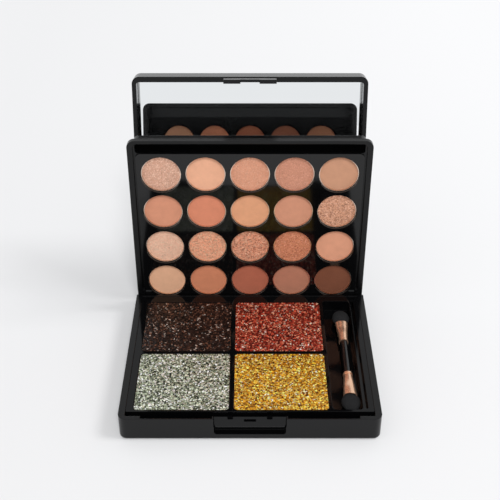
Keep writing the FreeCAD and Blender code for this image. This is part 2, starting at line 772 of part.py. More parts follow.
flange = rounded(
    "flange",
    box("flange_box", (f"-{LEAF_HALF}", LEAF_HALF), (FACE, LEAF_REAR), (LEAF_LOW, LEAF_TOP)),
    "leaf_corner",
    Y,
)
rear_half = rounded(
    "rear_half",
    box(
        "rear_half_box",
        (f"-{BACK_HALF}", BACK_HALF),
        (f"{LEAF_REAR} - {PAST}", BACK_FACE),
        (BACK_LOW, BACK_TOP),
    ),
    "face_corner",
    Y,
)
face_recess = rounded(
    "face_recess",
    box(
        "face_recess_box",
        (f"-{FACE_HALF} - leaf_slit", f"{FACE_HALF} + leaf_slit"),
        (f"{FACE} - {PAST}", FACE_BACK),
        (f"{FACE_LOW} - panel_fit", f"{LEAF_TOP} - leaf_rim_top"),
    ),
    "face_corner",
    Y,
)
leaf_foot = box(
    "leaf_foot",
    (f"-{FOOT_HALF}", FOOT_HALF),
    (f"{LEAF_REAR} - {PAST}", f"{PAN_SEAT} + pan_floor"),
    (f"{FACE_LOW} + pan_floor", f"{BACK_LOW} + {PAST}"),
)
channel = rounded(
    "channel_cut",
    box(
        "channel_box",
        (f"-{FACE_HALF}", FACE_HALF),
        (f"{FACE} - {PAST}", CHANNEL_FLOOR),
        (FACE_TOP, f"{LEAF_TOP} - leaf_rim_top"),
    ),
    "face_corner / 2",
    Y,
)
hinge_bosses = [
    box(
        f"hinge_boss_{side}",
        limits,
        (f"{FACE} - {PAST} - {PAST}", f"{FACE_BACK} + {PAST}"),
        (f"{FACE_LOW} - {PAST}", HINGE_CLEAR),
    )
    for side, limits in (
        ("left", (f"-{LEAF_HALF}", f"-{BOSS_INNER}")),
        ("right", (BOSS_INNER, LEAF_HALF)),
    )
]
face_cut = cut("face_cut", face_recess, *hinge_bosses)
rear_recess = rounded(
    "rear_recess",
    box(
        "rear_recess_box",
        (f"-{BACK_HALF} + back_rim", f"{BACK_HALF} - back_rim"),
        (BACK_SEAT, f"{BACK_FACE} + {PAST}"),
        (f"{BACK_LOW} + back_rim / 2", f"{BACK_TOP} - back_rim"),
    ),
    "face_corner",
    Y,
)
lug_notches = [
    box(
        f"lug_notch_{side}",
        (f"{low} - run_fit", f"{low} + tray_lug_width + run_fit"),
        (f"{FACE} - {PAST}", f"{LEAF_REAR} + {PAST} / 4"),
        (f"{LEAF_LOW} - {PAST}", HINGE_CLEAR),
    )
    for side, low in LUG_SIDES.items()
]
tray_bores = [
    round_bar(
        f"tray_bore_{side}",
        X,
        (f"{low} - run_fit", TRAY_AXIS_Y, TRAY_AXIS_Z),
        "tray_pin_length + 2 * run_fit",
        "tray_pin_radius + pin_fit",
    )
    for side, low in PIN_SIDES.items()
]
tray_frame = cut(
    "tray_frame",
    fuse("tray_joined", flange, rear_half, leaf_foot),
    face_cut,
    channel,
    rear_recess,
    *lug_notches,
    *tray_bores,
    *discs("front_pocket", FRONT_PANS, f"{FACE} - {PAST}", PAN_SEAT, f"{PAN_RADIUS} + pan_fit"),
    *discs(
        "rear_pocket",
        BACK_PANS,
        BACK_PAN_SEAT,
        f"{BACK_FACE} + {PAST}",
        f"{BACK_RADIUS} + tin_fit",
    ),
)
# A strip of black felt on the floor of the channel above the front panel.
tray_felt = rounded(
    "tray_felt",
    box(
        "felt_box",
        (f"-{FACE_HALF} + panel_fit", f"{FACE_HALF} - panel_fit"),
        (f"{CHANNEL_FLOOR} - felt_thick", CHANNEL_FLOOR),
        (f"{FACE_TOP} + panel_fit", f"{LEAF_TOP} - leaf_rim_top - panel_fit"),
    ),
    "face_corner / 2",
    Y,
)
face_plate = rounded(
    "face_plate_round",
    box(
        "face_plate_box",
        (f"-{FACE_HALF}", FACE_HALF),
        (FACE_PANEL, FACE_BACK),
        (FACE_LOW, FACE_TOP),
    ),
    "face_corner",
    Y,
)
face_corners = [
    box(
        f"face_corner_{side}",
        limits,
        (f"{FACE} - {PAST}", f"{FACE_BACK} + {PAST}"),
        (f"{FACE_LOW} - {PAST}", f"{HINGE_CLEAR} + panel_fit"),
    )
    for side, limits in (
        ("left", (f"-{LEAF_HALF}", f"-{BOSS_INNER} + panel_fit")),
        ("right", (f"{BOSS_INNER} - panel_fit", LEAF_HALF)),
    )
]
tray_front_panel = cut(
    "tray_front_panel",
    face_plate,
    *face_corners,
    *discs(
        "front_hole",
        FRONT_PANS,
        f"{FACE} - {PAST}",
        f"{FACE_BACK} + {PAST}",
        f"{PAN_RADIUS} + pan_fit",
    ),
)
tray_rear_panel = cut(
    "tray_rear_panel",
    rounded(
        "rear_plate_round",
        box(
            "rear_plate_box",
            (f"-{BACK_HALF} + back_rim + panel_fit", f"{BACK_HALF} - back_rim - panel_fit"),
            (BACK_SEAT, BACK_PANEL),
            (f"{BACK_LOW} + back_rim / 2 + panel_fit", BACK_PANEL_TOP),
        ),
        "face_corner",
        Y,
    ),
    *discs(
        "rear_hole",
        BACK_PANS,
        f"{BACK_SEAT} - {PAST}",
        f"{BACK_FACE} + {PAST}",
        f"{BACK_RADIUS} + tin_fit",
    ),
)
nodes += [tray_frame, tray_felt, tray_front_panel, tray_rear_panel]


def tins(name, pans, seat, mouth, radius, inner_start, inner_end):
    """Round tins as cups, each an outer disc less its hollow."""
    low, high = (mouth, seat) if name == "front" else (seat, mouth)
    outer = discs(f"{name}_tin_out", pans, low, high, radius)
    inner = discs(f"{name}_tin_in", pans, inner_start, inner_end, f"{radius} - tin_wall")
    return group(
        f"{name}_tins",
        [cut(f"{name}_tin_{count}", *pair) for count, pair in enumerate(zip(outer, inner), 1)],
    )


PAN_MOUTH = f"({PAN_SEAT} - pan_tall)"
BACK_PAN_MOUTH = f"({BACK_PAN_SEAT} + pan_tall)"
nodes.append(
    tins(
        "front",
        FRONT_PANS,
        PAN_SEAT,
        PAN_MOUTH,
        PAN_RADIUS,
        f"{PAN_MOUTH} - {PAST}",
        f"{PAN_SEAT} - tin_wall",
    )
)
nodes.append(
    tins(
        "rear",
        BACK_PANS,
        BACK_PAN_SEAT,
        BACK_PAN_MOUTH,
        BACK_RADIUS,
        f"{BACK_PAN_SEAT} + tin_wall",
        f"{BACK_PAN_MOUTH} + {PAST}",
    )
)
nodes += discs(
    "shade",
    FRONT_PANS,
    f"{PAN_MOUTH} + pan_cake_drop",
    f"{PAN_SEAT} - tin_wall",
    f"{PAN_RADIUS} - tin_wall - cake_fit",
)
rear_cakes = discs(
    "rear_cake",
    BACK_PANS,
    f"{BACK_PAN_SEAT} + tin_wall",
    f"{BACK_PAN_MOUTH} - cake_drop",
    f"{BACK_RADIUS} - tin_wall - cake_fit",
)
for row in range(ROWS):
    nodes.append(
        group(f"rear_shades_{row + 1}", rear_cakes[row * COLUMNS : (row + 1) * COLUMNS])
    )

# The lid, drawn upright with its hinge axis at the origin and then leaned back on that axis:
# a deep moulded frame with half of the hinge's knuckles and a latch tongue on its free edge.
LID_LOW = "(barrel_radius + barrel_gap)"
LID_TOP = f"({LID_AXIS_Y} - {FRONT} - lid_setback)"
LID_FACE = "(-lid_offset)"
LID_BACK = "(lid_thick - lid_offset)"
LID_SEAT = "(lid_recess - lid_offset)"


def lean(thing):
    """Sets a piece of the lid on the hinge axis and leans it back."""
    thing.Placement.Rotation = FreeCAD.Rotation(X, 1)
    bind(thing, "Placement.Rotation.Angle", "-lid_lean")
    bind(thing, "Placement.Base.y", LID_AXIS_Y)
    bind(thing, "Placement.Base.z", LID_AXIS_Z)
    return thing


lid_block = rounded(
    "lid_block",
    box("lid_box", (f"-{LEAF_HALF}", LEAF_HALF), (LID_FACE, LID_BACK), (LID_LOW, LID_TOP)),
    "lid_corner",
    Y,
)
lid_outer = rounded_edge(
    "lid_outer", lid_block, "lid_edge", lambda edge: edge.YMin > value(LID_SEAT)
)
lid_hollow = rounded(
    "lid_hollow",
    box(
        "lid_hollow_box",
        (f"-{LEAF_HALF} + lid_rim", f"{LEAF_HALF} - lid_rim"),
        (f"{LID_FACE} - {PAST}", LID_SEAT),
        (f"{LID_LOW} + lid_rim", f"{LID_TOP} - lid_rim_top"),
    ),
    "lid_corner - lid_rim",
    Y,
)
lid_knuckles = []
for number in (-1, 1):
    low = f"({number} * {KNUCKLE_STEP} - knuckle_length / 2)"
    lid_knuckles.append(
        round_bar(f"lid_barrel_{number + 1}", X, (low, "0", "0"), "knuckle_length", "barrel_radius")
    )
    lid_knuckles.append(
        box(
            f"lid_web_{number + 1}",
            (low, f"{low} + knuckle_length"),
            ("0", "barrel_radius"),
            ("0", f"{LID_LOW} + lid_rim / 2"),
        )
    )
TONGUE_TOP = f"({LID_TOP} - tongue_inset)"
TONGUE_LOW = f"({TONGUE_TOP} - tongue_thick)"
TONGUE_END = f"({LID_FACE} - tongue_length)"
tongue = box(
    "tongue",
    ("-tongue_width / 2", "tongue_width / 2"),
    (TONGUE_END, f"{LID_FACE} + {PAST}"),
    (TONGUE_LOW, TONGUE_TOP),
)
tongue_gap = box(
    "tongue_gap",
    ("-tongue_split / 2", "tongue_split / 2"),
    (f"{TONGUE_END} - {PAST}", f"{TONGUE_END} + tongue_step"),
    (f"{TONGUE_LOW} - {PAST}", f"{TONGUE_TOP} + {PAST}"),
)
barbs = [
    box(
        f"barb_{side}",
        limits,
        (TONGUE_END, f"{TONGUE_END} + barb_tall"),
        (f"{TONGUE_LOW} - barb_reach", f"{TONGUE_LOW} + tongue_thick / 2"),
    )
    for side, limits in (
        ("left", ("-tongue_width / 2", "-tongue_split / 2")),
        ("right", ("tongue_split / 2", "tongue_width / 2")),
    )
]
lid_bore = round_bar(
    "lid_bore",
    X,
    (f"-{BARREL_HALF}", "0", "0"),
    f"2 * {BARREL_HALF}",
    "lid_pin_radius + pin_fit",
)
lid_shell = lean(
    cut(
        "lid_shell",
        fuse(
            "lid_joined",
            cut("lid_hollowed", lid_outer, lid_hollow),
            *lid_knuckles,
            cut("tongue_feet", tongue, tongue_gap),
            *barbs,
        ),
        lid_bore,
    )
)
mirror = lean(
    rounded(
        "mirror",
        box(
            "mirror_box",
            (f"-{LEAF_HALF} + lid_rim + mirror_fit", f"{LEAF_HALF} - lid_rim - mirror_fit"),
            (f"{LID_SEAT} - mirror_thick", LID_SEAT),
            (f"{LID_LOW} + lid_rim + mirror_fit", f"{LID_TOP} - lid_rim_top - mirror_fit"),
        ),
        "lid_corner - lid_rim",
        Y,
    )
)
nodes += [lid_shell, mirror]

# The applicator, loose in its well: a handle with a flared ferrule and a sponge tip at each end.
WAND_X = f"({HALF} - wand_side)"
WAND_Z = f"({WELL_FLOOR} + wand_clear + ferrule_large)"
WAND_START = f"({WELL_FRONT} + wand_front)"
FERRULE_ONE = f"({WAND_START} + sponge_length)"
HANDLE_LOW = f"({FERRULE_ONE} + ferrule_length)"
WAND_END = f"({WELL_REAR} - wand_slack)"
FERRULE_TWO = f"({WAND_END} - sponge_length - ferrule_length)"
handle = round_bar(
    "applicator_handle",
    Y,
    (WAND_X, f"{HANDLE_LOW} - socket_length", WAND_Z),
    f"{FERRULE_TWO} - {HANDLE_LOW} + 2 * socket_length",
    "handle_radius",
)
nodes.append(handle)


def ferrule(name, mouth, inward):
    """A flared sleeve from the sponge's mouth to the handle, with a collar on the handle's side."""
    tail = f"({inward} * ferrule_length)"
    collar = f"({inward} * (ferrule_length - collar_length))"
    grip = f"({inward} * (ferrule_length - socket_length))"
    seat = f"({inward} * socket_length)"
    return turned(
        name,
        [
            ("0", seat),
            ("ferrule_large - ferrule_wall", seat),
            ("ferrule_large - ferrule_wall", "0"),
            ("ferrule_large", "0"),
            ("ferrule_small", collar),
            ("ferrule_small + collar_rise", collar),
            ("ferrule_small + collar_rise", tail),
            ("handle_radius", tail),
            ("handle_radius", grip),
            ("0", grip),
        ],
        (WAND_X, mouth, WAND_Z),
    )


nodes.append(ferrule("ferrule_front", FERRULE_ONE, 1))
nodes.append(ferrule("ferrule_rear", f"({FERRULE_TWO} + ferrule_length)", -1))


def sponge(name, mouth, outward):
    """A flattened egg outside the ferrule, with a round plug inside it."""
    egg = doc.addObject("Part::Ellipsoid", name + "_egg")
    bind(egg, "Radius1", "sponge_thick / 2")
    bind(egg, "Radius2", "sponge_width / 2")
    bind(egg, "Radius3", "sponge_length / 2")
    bind(egg, "Placement.Base.x", WAND_X)
    bind(egg, "Placement.Base.y", f"{mouth} + {outward} * sponge_length / 2")
    bind(egg, "Placement.Base.z", WAND_Z)
    low = mouth if outward < 0 else f"({mouth} - socket_length)"
    neck = round_bar(
        name + "_neck",
        Y,
        (WAND_X, f"{low} - sponge_length / 2" if outward < 0 else low, WAND_Z),
        "socket_length + sponge_length / 2",
        "sponge_thick / 2 - ferrule_wall",
    )
    return fuse(name, egg, neck)


nodes.append(sponge("sponge_front", FERRULE_ONE, -1))
nodes.append(sponge("sponge_rear", f"({FERRULE_TWO} + ferrule_length)", 1))

doc.recompute()
for thing in doc.Objects:
    if "Invalid" in thing.State or "Error" in thing.State:
        raise RuntimeError(f"{thing.Name} failed: {thing.State}")
for node in nodes:
    if node.Shape.isNull() or not node.Shape.isValid():
        raise RuntimeError(f"{node.Label} has no valid shape")

os.makedirs("parts", exist_ok=True)
for node in nodes:
    node.Shape.exportStep(f"parts/{node.Label}.step")
    print(node.Label, len(node.Shape.Solids), round(node.Shape.Volume, 2))
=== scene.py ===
import math
import random

import bmesh
import bpy
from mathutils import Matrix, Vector, noise


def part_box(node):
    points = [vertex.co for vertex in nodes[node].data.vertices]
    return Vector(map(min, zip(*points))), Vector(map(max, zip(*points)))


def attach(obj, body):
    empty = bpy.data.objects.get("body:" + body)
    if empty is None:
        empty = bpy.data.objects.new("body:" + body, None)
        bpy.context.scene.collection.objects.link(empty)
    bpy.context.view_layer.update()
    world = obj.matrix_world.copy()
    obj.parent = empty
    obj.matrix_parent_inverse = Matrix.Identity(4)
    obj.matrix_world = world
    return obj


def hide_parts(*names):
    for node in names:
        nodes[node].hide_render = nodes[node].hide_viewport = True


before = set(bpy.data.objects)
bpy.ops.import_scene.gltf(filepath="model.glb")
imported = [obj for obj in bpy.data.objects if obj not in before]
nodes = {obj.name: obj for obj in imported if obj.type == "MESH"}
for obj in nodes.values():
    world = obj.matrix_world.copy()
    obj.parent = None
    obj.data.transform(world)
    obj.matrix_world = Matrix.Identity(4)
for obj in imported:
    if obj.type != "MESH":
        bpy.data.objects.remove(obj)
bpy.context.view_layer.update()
MM = 0.001


# Base shell, tray frame and lid shell: injection-moulded black plastic with a soft gloss.
# The tool leaves faint flow marks in the gloss and slightly rounded edges everywhere.
# The tray and the lid turn on steel pins at the base shell's rear wall.
def linear(red, green, blue):
    """A screen colour, 0 to 255, as linear light."""
    values = []
    for channel in (red, green, blue):
        part = channel / 255
        values.append(part / 12.92 if part <= 0.04045 else ((part + 0.055) / 1.055) ** 2.4)
    return (*values, 1.0)


BLACK = linear(6, 6, 7)
FLOW_MARKS = 55.0
GRAIN_STRENGTH = 0.35
EDGE_SAMPLES = 4


def start_finish(name, colour, roughness=0.5, metallic=0.0):
    """A new material, its node tree and its main shader."""
    material = bpy.data.materials.new(name)
    material.use_nodes = True
    tree = material.node_tree
    shader = tree.nodes["Principled BSDF"]
    shader.inputs["Base Color"].default_value = colour
    shader.inputs["Roughness"].default_value = roughness
    shader.inputs["Metallic"].default_value = metallic
    return material, tree, shader


def add_node(tree, kind, settings=(), **inputs):
    """A shader node with its settings and plain input values."""
    node = tree.nodes.new(kind)
    for key, setting in dict(settings).items():
        setattr(node, key, setting)
    for key, number in inputs.items():
        node.inputs[key.replace("_", " ")].default_value = number
    return node


def object_noise(tree, scale, detail=2.0, roughness=0.5):
    place = add_node(tree, "ShaderNodeTexCoord")
    grain = add_node(tree, "ShaderNodeTexNoise", Scale=scale, Detail=detail, Roughness=roughness)
    tree.links.new(place.outputs["Object"], grain.inputs["Vector"])
    return grain


def spread(tree, source, low, high):
    """Maps a 0 to 1 signal to the range low to high."""
    ranged = add_node(tree, "ShaderNodeMapRange")
    ranged.inputs["To Min"].default_value = low
    ranged.inputs["To Max"].default_value = high
    tree.links.new(source, ranged.inputs["Value"])
    return ranged.outputs["Result"]


def uneven_gloss(tree, shader, scale, low, high, detail=2.0):
    """Roughness that wanders between two values over the piece."""
    drift = object_noise(tree, scale, detail)
    tree.links.new(spread(tree, drift.outputs["Fac"], low, high), shader.inputs["Roughness"])


def raise_bumps(tree, heights, strength, depth):
    """A bump node that follows a noise."""
    bump = add_node(tree, "ShaderNodeBump", Strength=strength, Distance=depth)
    tree.links.new(heights.outputs["Fac"], bump.inputs["Height"])
    return bump


def lean_normal(tree, normal, offset):
    """A surface normal tilted by an offset vector."""
    added = add_node(tree, "ShaderNodeVectorMath", {"operation": "ADD"})
    tree.links.new(normal, added.inputs[0])
    tree.links.new(offset, added.inputs[1])
    unit = add_node(tree, "ShaderNodeVectorMath", {"operation": "NORMALIZE"})
    tree.links.new(added.outputs["Vector"], unit.inputs[0])
    return unit.outputs["Vector"]


def moulded_black(name, shine, gloss, grain_scale, grain_depth, edge, colour=BLACK, dip=0):
    """Black plastic: uneven gloss, a fine moulded grain and softened edges.

    A large polished face comes out of the tool a little hollow, so that it gives back what lies
    lower down: dip is by how many degrees.
    """
    material, tree, shader = start_finish(name, colour)
    shader.inputs["Specular IOR Level"].default_value = shine
    uneven_gloss(tree, shader, FLOW_MARKS, *gloss, detail=3.0)
    soft_edge = add_node(tree, "ShaderNodeBevel", {"samples": EDGE_SAMPLES}, Radius=edge)
    bump = raise_bumps(tree, object_noise(tree, grain_scale), GRAIN_STRENGTH, grain_depth)
    tree.links.new(soft_edge.outputs["Normal"], bump.inputs["Normal"])
    facing = bump.outputs["Normal"]
    if dip:
        downward = add_node(
            tree, "ShaderNodeVectorTransform", {"convert_from": "OBJECT", "convert_to": "WORLD"}
        )
        downward.inputs["Vector"].default_value = (0, 0, -math.tan(math.radians(dip)))
        facing = lean_normal(tree, facing, downward.outputs["Vector"])
    tree.links.new(facing, shader.inputs["Normal"])
    return material


def dress(material, *names):
    for name in names:
        nodes[name].material_slots[0].material = material


shell_plastic = moulded_black(
    "shell_plastic", 0.28, (0.16, 0.24), grain_scale=2600.0, grain_depth=0.012 * MM, edge=0.5 * MM
)
dress(shell_plastic, "base_shell", "tray_frame", "lid_shell")

# Base panel and the flip tray's two panels: high-gloss black inserts, polished in the tool,
# pressed onto the ledges of the shell and the frame. The rear one is left duller.
POLISH = {"grain_scale": 900.0, "grain_depth": 0.004 * MM, "edge": 0.3 * MM}
panel_gloss = moulded_black("panel_gloss", 0.22, (0.05, 0.10), **POLISH)
dress(panel_gloss, "base_panel")
panel_hollow = moulded_black("panel_hollow", 0.40, (0.05, 0.10), **POLISH, dip=3.3)
dress(panel_hollow, "tray_front_panel")
panel_dull = moulded_black(
    "panel_dull",
    0.12,
    (0.20, 0.32),
    grain_scale=1600.0,
    grain_depth=0.008 * MM,
    edge=0.3 * MM,
    colour=linear(7, 7, 8),
)
dress(panel_dull, "tray_rear_panel")

# Felt strip: a sheet of pressed fibre, glued to the floor of the channel above the front panel.
# Its dead matt near-black is painted shade, standing in for the shade deep in the channel, so the
# channel looks nearly empty.
# painted shade: the felt's near-black colour and faint shine
felt_painted_shade, tree, shader = start_finish("felt_black", linear(5, 5, 5), roughness=1.0)
shader.inputs["Specular IOR Level"].default_value = 0.03
matted = raise_bumps(tree, object_noise(tree, 3000.0, 4.0, 0.7), strength=0.7, depth=0.1 * MM)
tree.links.new(matted.outputs["Normal"], shader.inputs["Normal"])
dress(felt_painted_shade, "tray_felt")

# Latch button: glossy black plastic in the notch of the front wall, on a hidden spring.
# Its two catch hooks are bent from spring steel and clipped into its rear edge; their near-black
# colour with almost no shine is partly blackened steel, partly painted shade, so they read as the
# shaded channel behind the button.
latch_gloss = moulded_black(
    "latch_gloss", 0.32, (0.12, 0.20), grain_scale=2200.0, grain_depth=0.010 * MM, edge=0.4 * MM
)
dress(latch_gloss, "latch_button")
# painted shade: the near-black, nearly shineless colour of the hooks and the tray's short pins
steel_and_painted_shade, tree, shader = start_finish("steel_and_painted_shade", linear(4, 4, 5))
shader.inputs["Specular IOR Level"].default_value = 0.02
uneven_gloss(tree, shader, 2000.0, 0.5, 0.75)
dress(steel_and_painted_shade, "latch_hooks")

# Hinge pins: drawn steel wire with fine lines along it, pressed into the hinge knuckles.
# The lid's long pin is bright; the tray's two short ones share the hooks' near-black, nearly
# shineless finish, partly blackened steel, partly painted shade in their notches.
pin_steel, tree, shader = start_finish("pin_steel", linear(168, 168, 172), metallic=1.0)
uneven_gloss(tree, shader, 4200.0, 0.22, 0.42)
dress(pin_steel, "lid_hinge_pin")
dress(steel_and_painted_shade, "tray_hinge_pins")

# Tins of the base and of the tray's front face: thin pressed sheet, bright at the rim, glued
# into their pockets.
tin_sheet, tree, shader = start_finish("tin_sheet", linear(236, 214, 198), metallic=1.0)
uneven_gloss(tree, shader, 1500.0, 0.20, 0.38, detail=3.0)
dress(tin_sheet, "glitter_tins", "front_tins")

# Tins of the tray's rear face: the same pressed sheet, lacquered dark brown and glued in.
# The lacquer hides their rims in the mirror.
tin_lacquer, tree, shader = start_finish("tin_lacquer", linear(46, 30, 25), metallic=0.4)
shader.inputs["Specular IOR Level"].default_value = 0.1
uneven_gloss(tree, shader, 1500.0, 0.38, 0.55, detail=3.0)
dress(tin_lacquer, "rear_tins")

# Glitter cakes: flakes of coloured foil pressed into a gel, each flake lying at its own angle.
# Every facet of the crust is one flake with its own tone, and the crust fills its tin.
FLAKE = 0.90 * MM
FLAKE_LIFT = 0.16 * MM
FLAKE_SHIFT = 0.33
FOIL_METAL = 0.55
TONE_LEVELS = (0.70, 1.28)
INNER_SHARE = 0.999
CORNER_ROUND = 1.9 * MM
CORNER_CUTS = (22.5, 45.0, 67.5)
TIN_COVER = 0.40 * MM
TIN_RISE = 0.64 * MM
FIRST_SEED = 11
glitter_tones = {
    "glitter_dark": (
        [(12, 8, 7), (28, 18, 16), (56, 37, 31), (112, 78, 62), (172, 162, 154)],
        [0.38, 0.27, 0.21, 0.10, 0.04],
    ),
    "glitter_red": (
        [(74, 15, 10), (138, 43, 31), (190, 78, 56), (244, 154, 122), (255, 234, 212)],
        [0.28, 0.30, 0.25, 0.13, 0.04],
    ),
    "glitter_silver": (
        [(40, 45, 36), (108, 116, 95), (164, 172, 147), (216, 221, 199), (254, 255, 250)],
        [0.22, 0.24, 0.25, 0.19, 0.10],
    ),
    "glitter_gold": (
        [(106, 58, 3), (184, 122, 18), (234, 170, 46), (255, 216, 104), (255, 244, 190)],
        [0.21, 0.26, 0.28, 0.19, 0.06],
    ),
}


def foil_finish(name):
    """Foil flakes: the tone comes from the flake itself, under a thin clear gel."""
    material, tree, shader = start_finish(name, linear(188, 188, 188), metallic=FOIL_METAL)
    tone = add_node(tree, "ShaderNodeAttribute", {"attribute_name": "flake_tone"})
    tree.links.new(tone.outputs["Color"], shader.inputs["Base Color"])
    uneven_gloss(tree, shader, 1800.0, 0.18, 0.45)
    return material


def put_in_scene(shape, name, material):
    """Turns a finished bmesh into an object of the scene."""
    mesh = bpy.data.meshes.new(name)
    shape.to_mesh(mesh)
    shape.free()
    mesh.materials.append(material)
    piece = bpy.data.objects.new(name, mesh)
    bpy.context.scene.collection.objects.link(piece)
    return piece


def cut_corners(shape, half):
    """Rounds the four corners of a flat grid with a few straight cuts each."""
    for turn in range(4):
        for step in CORNER_CUTS:
            angle = math.radians(turn * 90 + step)
            way = Vector((math.cos(angle), math.sin(angle), 0))
            side = Vector((math.copysign(1, way.x), math.copysign(1, way.y), 0))
            centre = Vector(
                (side.x * (half.x - CORNER_ROUND), side.y * (half.y - CORNER_ROUND), 0)
            )
            bmesh.ops.bisect_plane(
                shape,
                geom=[*shape.verts, *shape.edges, *shape.faces],
                plane_co=centre + way * CORNER_ROUND,
                plane_no=way,
                clear_outer=True,
            )


def corner_places(face):
    """A face's corners in order of place, which gives the walls the same order in every run."""
    return sorted(tuple(vert.co) for vert in face.verts)


def glitter_crust(node, seed):
    """A closed block on the cake's place, with a crust of tilted facets that laps its tin's rim."""
    low, high = (Vector(corner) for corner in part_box(node))
    middle = (low + high) / 2
    plug = (high - low) / 2
    half = plug + Vector((TIN_COVER, TIN_COVER, 0))
    top = high.z + TIN_RISE
    draw = random.Random(seed)
    shape = bmesh.new()
    columns = round(2 * half.x / FLAKE)
    rows = round(2 * half.y / FLAKE)
    bmesh.ops.create_grid(shape, x_segments=columns, y_segments=rows, size=1.0)
    bmesh.ops.scale(shape, vec=(half.x, half.y, 1.0), verts=shape.verts)
    for vert in shape.verts:
        if abs(vert.co.x) < half.x * INNER_SHARE and abs(vert.co.y) < half.y * INNER_SHARE:
            vert.co.x += draw.uniform(-FLAKE_SHIFT, FLAKE_SHIFT) * FLAKE
            vert.co.y += draw.uniform(-FLAKE_SHIFT, FLAKE_SHIFT) * FLAKE
            vert.co.z += draw.uniform(-1.0, 1.0) * FLAKE_LIFT
    cut_corners(shape, half)
    bmesh.ops.triangulate(shape, faces=shape.faces)
    flakes = list(shape.faces)
    rim = [edge for edge in shape.edges if edge.is_boundary]
    shrink = (plug.x / half.x, plug.y / half.y, 1.0)
    steps = (((1, 1, 1), -FLAKE_LIFT), (shrink, -FLAKE_LIFT), ((1, 1, 1), low.z - top))
    for scale, height in steps:
        walls = bmesh.ops.extrude_edge_only(shape, edges=rim)["geom"]
        ring = [item for item in walls if isinstance(item, bmesh.types.BMVert)]
        bmesh.ops.scale(shape, vec=scale, verts=ring)
        for vert in ring:
            vert.co.z = height
        rim = [
            item for item in walls if isinstance(item, bmesh.types.BMEdge) and item.is_boundary
        ]
    bmesh.ops.contextual_create(shape, geom=rim)
    bmesh.ops.recalc_face_normals(shape, faces=shape.faces)
    tone_layer = shape.loops.layers.float_color.new("flake_tone")
    tones, shares = glitter_tones[node]
    sides = sorted(set(shape.faces) - set(flakes), key=corner_places)
    for face in [*flakes, *sides]:
        tone = draw.choices(tones, shares)[0]
        level = draw.uniform(*TONE_LEVELS)
        colour = linear(*(min(255, channel * level) for channel in tone))
        for corner in face.loops:
            corner[tone_layer] = colour
    bmesh.ops.translate(shape, vec=(middle.x, middle.y, top), verts=shape.verts)
    crust = put_in_scene(shape, node + "_crust", foil_finish(node + "_foil"))
    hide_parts(node)
    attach(crust, "base")


for seed, node in enumerate(glitter_tones, FIRST_SEED):
    glitter_crust(node, seed)

# Powder cakes of the tray's front face: pressed pigment in round tins. Mattes are chalky with a
# fine grain, satins carry a little mica and shimmers show separate mica flakes that glint at
# their own angles. Each kind is the share of mica and the scale of its flakes.
MATTE = (0.0, 1.0)
SATIN = (0.25, 3200.0)
SHIMMER = (0.45, 2600.0)
FLAKY = (0.6, 1700.0)
CLOUD_DARK, CLOUD_LIGHT = 0.86, 1.12
MICA_DARK, MICA_LIGHT, MICA_GLOW = 0.8, 1.5, 0.12
MICA_METAL = 0.6
MICA_TILT = 0.5
POWDER_ROUGH, MICA_ROUGH = 0.75, 0.35
MIX_FIRST, MIX_SECOND, MIX_RESULT = 6, 7, 2


def mix_colour(tree, share, first, second, blend="MIX"):
    """Blends two colours by a share. Each may be a plain value or another node's output."""
    mixed = add_node(tree, "ShaderNodeMix", {"data_type": "RGBA", "blend_type": blend})
    for place, source in ((0, share), (MIX_FIRST, first), (MIX_SECOND, second)):
        if isinstance(source, bpy.types.NodeSocket):
            tree.links.new(source, mixed.inputs[place])
        else:
            mixed.inputs[place].default_value = source
    return mixed.outputs[MIX_RESULT]


def shade(colour, share, glow=0.0):
    """A colour made darker or lighter."""
    return (*(min(1.0, channel * share + glow) for channel in colour[:3]), 1.0)


def add_mica(tree, shader, colour, pressed, normal, mica, flake_scale):
    """Mica flakes over the pressed colour, each with its own tone and tilt."""
    links = tree.links
    place = add_node(tree, "ShaderNodeTexCoord")
    flakes = add_node(tree, "ShaderNodeTexVoronoi", Scale=flake_scale)
    links.new(place.outputs["Object"], flakes.inputs["Vector"])
    parts = add_node(tree, "ShaderNodeSeparateColor")
    links.new(flakes.outputs["Color"], parts.inputs["Color"])
    chosen = add_node(tree, "ShaderNodeMath", {"operation": "LESS_THAN"})
    chosen.inputs[1].default_value = mica
    links.new(parts.outputs["Red"], chosen.inputs[0])
    is_mica = chosen.outputs["Value"]
    dark, light = shade(colour, MICA_DARK), shade(colour, MICA_LIGHT, MICA_GLOW)
    bright = mix_colour(tree, parts.outputs["Green"], dark, light)
    links.new(spread(tree, is_mica, 0.0, MICA_METAL), shader.inputs["Metallic"])
    links.new(spread(tree, is_mica, POWDER_ROUGH, MICA_ROUGH), shader.inputs["Roughness"])
    centred = add_node(tree, "ShaderNodeVectorMath", {"operation": "SUBTRACT"})
    centred.inputs[1].default_value = (0.5, 0.5, 0.5)
    links.new(flakes.outputs["Color"], centred.inputs[0])
    tilted = add_node(tree, "ShaderNodeVectorMath", {"operation": "SCALE"}, Scale=MICA_TILT)
    links.new(centred.outputs["Vector"], tilted.inputs[0])
    glint = mix_colour(tree, is_mica, pressed, bright)
    return glint, lean_normal(tree, normal, tilted.outputs["Vector"])


def powder_finish(name, colour, mica, flake_scale):
    material, tree, shader = start_finish(name, colour, roughness=0.8)
    shader.inputs["Specular IOR Level"].default_value = 0.25
    shader.inputs["Sheen Weight"].default_value = 0.12
    cloud = object_noise(tree, 260.0, 4.0, 0.6)
    grain = object_noise(tree, 5200.0, 2.0, 0.7)
    pressed = mix_colour(
        tree, cloud.outputs["Fac"], shade(colour, CLOUD_DARK), shade(colour, CLOUD_LIGHT)
    )
    normal = raise_bumps(tree, grain, strength=0.5, depth=0.05 * MM).outputs["Normal"]
    if mica > 0:
        pressed, normal = add_mica(tree, shader, colour, pressed, normal, mica, flake_scale)
    tree.links.new(pressed, shader.inputs["Base Color"])
    tree.links.new(normal, shader.inputs["Normal"])
    return material


